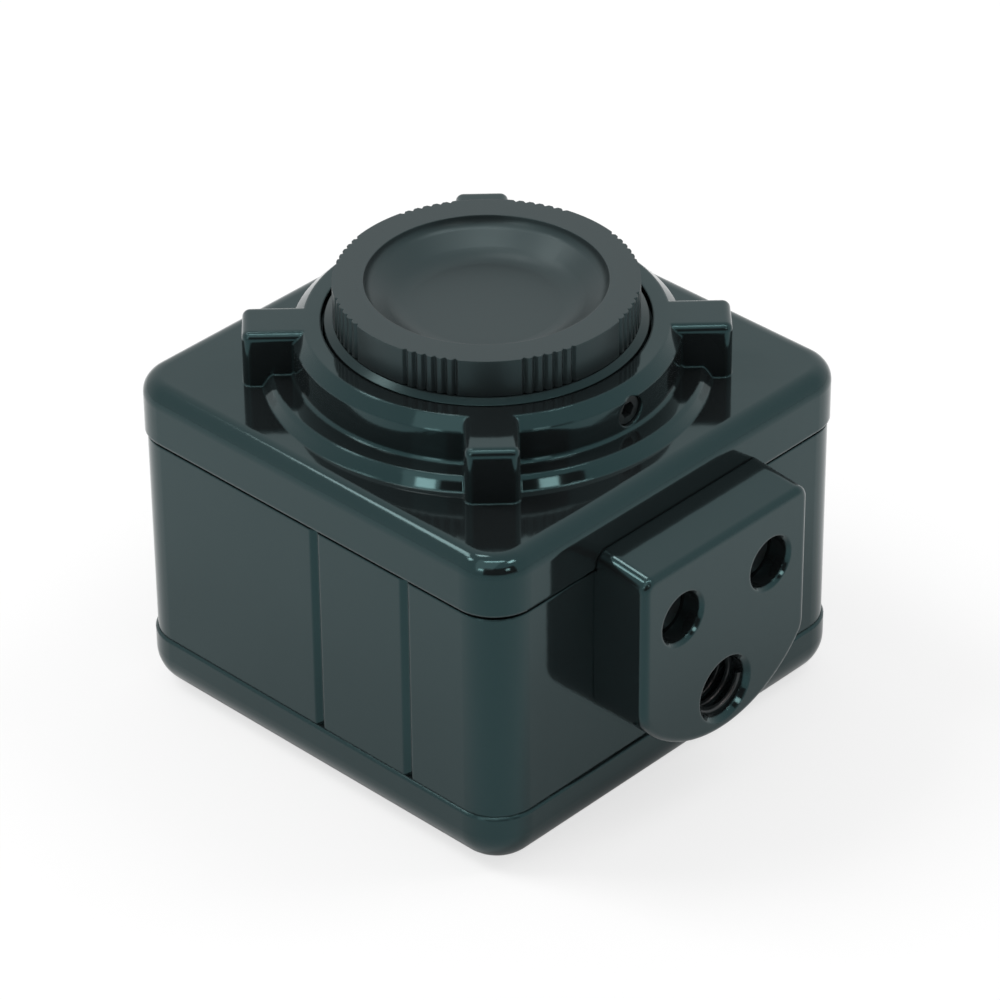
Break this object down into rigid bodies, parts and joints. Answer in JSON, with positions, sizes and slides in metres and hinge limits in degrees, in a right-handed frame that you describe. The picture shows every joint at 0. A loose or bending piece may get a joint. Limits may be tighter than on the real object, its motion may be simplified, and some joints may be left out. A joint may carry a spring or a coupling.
{
  "type": "microscope camera",
  "caption": "Square black camera head with a lens mount and dust cap on its front, a tripod foot on one side and an interface socket at the rear.",
  "frame": {"origin": "centre of the flat rear face, on which the camera stands", "axes": "+Z along the optical axis out of the lens mount, -Y towards the tripod foot, -X towards the wall with two grooves"},
  "size_m": [0.0506, 0.0569, 0.0464],
  "materials": {
    "gloss_black_casting": "glossy black stove enamel on zinc",
    "black_anodised": "satin black anodised",
    "black_steel": "black oxide",
    "black_cap": "satin moulded black",
    "filter": "polished, coated",
    "seal_rubber": "soft matt",
    "board_laminate": "green solder mask",
    "spacer_brass": "plain",
    "bright_steel": "nickel plated",
    "ceramic": "sintered",
    "silicon": "polished",
    "chip_black": "fine matt",
    "connector_plastic": "moulded",
    "led_white": "moulded",
    "clear_plastic": "polished clear"
  },
  "bodies": {
    "case": {"front_cover": "gloss_black_casting", "middle_body": "gloss_black_casting", "rear_cover": "gloss_black_casting", "case_screws": "black_steel", "tripod_foot": "gloss_black_casting", "foot_screws": "black_steel", "filter_seal": "seal_rubber", "filter_glass": "filter", "filter_retainer": "black_anodised", "sensor_board": "board_laminate", "main_board": "board_laminate", "board_spacers": "spacer_brass", "board_screws": "bright_steel", "image_sensor": "ceramic", "sensor_die": "silicon", "sensor_window": "filter", "link_plug": "connector_plastic", "link_socket": "connector_plastic", "processor_chip": "chip_black", "memory_chip": "chip_black", "choke": "chip_black", "crystal": "bright_steel", "interface_socket": "bright_steel", "socket_insert": "connector_plastic", "status_led": "led_white", "light_pipe": "clear_plastic"},
    "mount_ring": {"mount_ring": "black_anodised"},
    "cap": {"dust_cap": "black_cap"},
    "lock_screw": {"lock_screw": "black_steel"}
  },
  "joints": [
    {"name": "mount_ring_turn", "type": "hinge", "parent": "case", "child": "mount_ring", "pos_m": [0, 0, 0.039], "axis": [0, 0, 1], "range_deg": [-180, 180]},
    {"name": "cap_lift", "type": "slide", "parent": "mount_ring", "child": "cap", "axis": [0, 0, 1], "range_m": [0, 0.02]},
    {"name": "lock_screw_turn", "type": "hinge", "parent": "case", "child": "lock_screw", "pos_m": [0, -0.0173, 0.03953], "axis": [0, -1, 0], "range_deg": [0, 360]}
  ]
}
